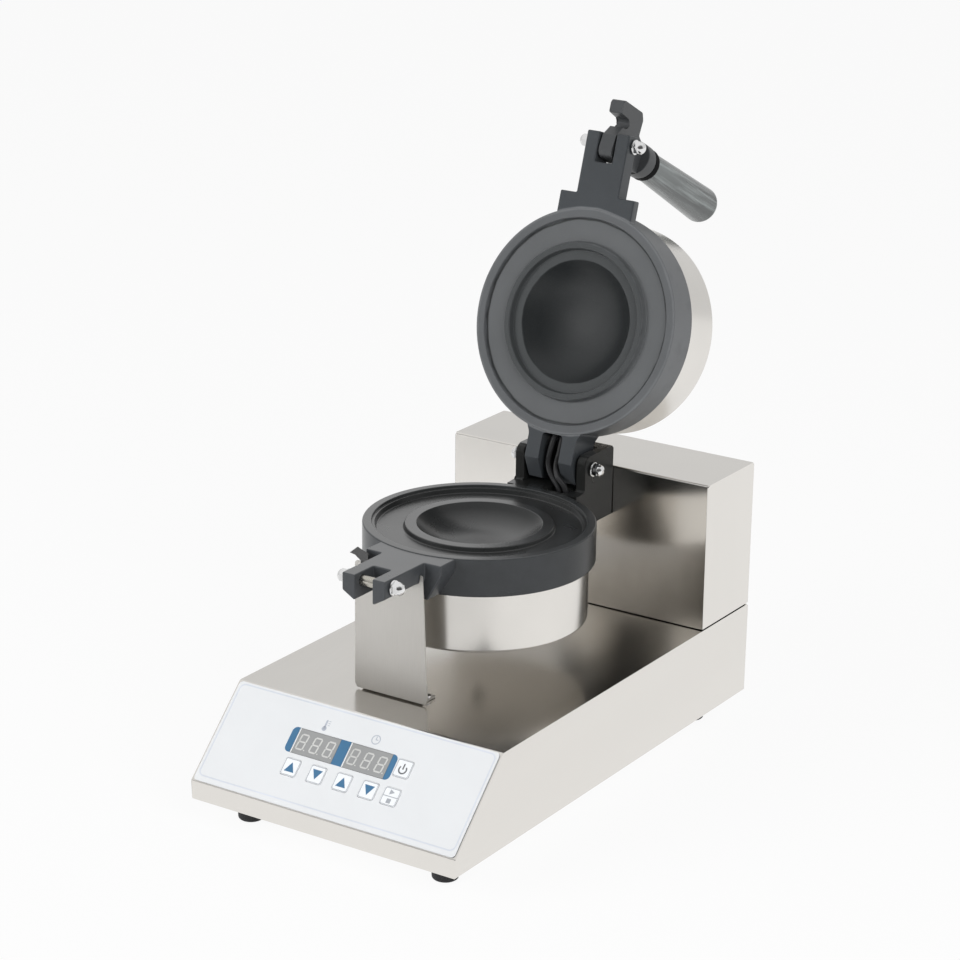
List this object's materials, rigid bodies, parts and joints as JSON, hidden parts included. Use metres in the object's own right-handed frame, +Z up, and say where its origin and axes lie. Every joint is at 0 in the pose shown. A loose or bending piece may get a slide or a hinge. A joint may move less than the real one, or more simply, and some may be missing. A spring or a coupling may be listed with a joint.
{
  "type": "countertop mould iron",
  "caption": "Countertop mould iron for closed filled buns: heated lower mould, hinged upper mould with hooked lever, sloping key panel.",
  "frame": {"origin": "on the surface that the feet stand on, under the centre of the bounding box at rest with the lid open", "axes": "+X to the right seen from the panel, +Y to the back, +Z up"},
  "size_m": [0.24, 0.5492, 0.5041],
  "materials": {
    "stainless": "brushed along the folds, warm grey",
    "nonstick_cast": "cast aluminium with a dark grey non-stick coat, satin",
    "bakelite": "moulded black phenolic, semi-gloss",
    "chrome": "bright plated",
    "steel": "plain turned steel",
    "rubber": "matt black",
    "overlay_film": "white printed film, satin",
    "key_film": "white printed film, satin",
    "display_lens": "grey filter window, glossy",
    "display_body": "moulded grey",
    "circuit_board": "green lacquered board",
    "black_plastic": "moulded black",
    "ceramic": "pale moulded insulator",
    "lead_sleeve": "varnished glass-fibre sleeve, black"
  },
  "bodies": {
    "base": {"base_housing": "stainless", "base_plate": "stainless", "foot_front_left": "rubber", "foot_front_right": "rubber", "foot_rear_left": "rubber", "foot_rear_right": "rubber", "rear_housing": "stainless", "power_inlet": "black_plastic", "relay": "black_plastic", "terminal_block": "ceramic", "control_overlay": "overlay_film", "control_board": "circuit_board", "display_window_left": "display_lens", "display_window_right": "display_lens", "display_module_left": "display_body", "display_module_right": "display_body", "lower_mould": "nonstick_cast", "lower_drum": "stainless", "lower_heater": "steel", "lower_heater_clamp": "steel", "lower_drum_bolt": "steel", "lower_temperature_probe": "steel", "front_bracket": "stainless", "bracket_screw_left": "chrome", "bracket_screw_right": "chrome", "catch_pin": "steel", "catch_nut_left": "chrome", "catch_nut_right": "chrome", "hinge_pin_left": "steel", "hinge_pin_right": "steel", "hinge_nut_left": "chrome", "hinge_nut_right": "chrome", "hinge_screw_left": "steel", "hinge_screw_right": "steel", "heater_lead_left": "lead_sleeve", "heater_lead_right": "lead_sleeve"},
    "lid": {"upper_mould": "nonstick_cast", "upper_drum": "stainless", "upper_heater": "steel", "upper_heater_clamp": "steel", "upper_drum_bolt": "steel", "upper_temperature_probe": "steel", "lever_pin": "steel", "lever_nut_left": "chrome", "lever_nut_right": "chrome"},
    "lever": {"latch_lever": "nonstick_cast", "lever_stud": "steel", "grip_washer": "bakelite", "handle_grip": "bakelite"},
    "temp_up": {"key_temp_up": "key_film"},
    "temp_down": {"key_temp_down": "key_film"},
    "time_up": {"key_time_up": "key_film"},
    "time_down": {"key_time_down": "key_film"},
    "power": {"key_power": "key_film"},
    "start": {"key_start": "key_film"}
  },
  "joints": [
    {"name": "lid_hinge", "type": "hinge", "parent": "base", "child": "lid", "pos_m": [0, 0.04607, 0.2251], "axis": [1, 0, 0], "range_deg": [0, 107.8], "deforming": ["heater_lead_left", "heater_lead_right"]},
    {"name": "lever_pivot", "type": "hinge", "parent": "lid", "child": "lever", "pos_m": [0, 0.1189, 0.47027], "axis": [1, 0, 0], "range_deg": [0, 104]},
    {"name": "temp_up_press", "type": "slide", "parent": "base", "child": "temp_up", "axis": [0, 0.7071, -0.7071], "range_m": [0, 0.0005], "stiffness_N_per_m": 3000},
    {"name": "temp_down_press", "type": "slide", "parent": "base", "child": "temp_down", "axis": [0, 0.7071, -0.7071], "range_m": [0, 0.0005], "stiffness_N_per_m": 3000},
    {"name": "time_up_press", "type": "slide", "parent": "base", "child": "time_up", "axis": [0, 0.7071, -0.7071], "range_m": [0, 0.0005], "stiffness_N_per_m": 3000},
    {"name": "time_down_press", "type": "slide", "parent": "base", "child": "time_down", "axis": [0, 0.7071, -0.7071], "range_m": [0, 0.0005], "stiffness_N_per_m": 3000},
    {"name": "power_press", "type": "slide", "parent": "base", "child": "power", "axis": [0, 0.7071, -0.7071], "range_m": [0, 0.0005], "stiffness_N_per_m": 3000},
    {"name": "start_press", "type": "slide", "parent": "base", "child": "start", "axis": [0, 0.7071, -0.7071], "range_m": [0, 0.0005], "stiffness_N_per_m": 3000}
  ]
}
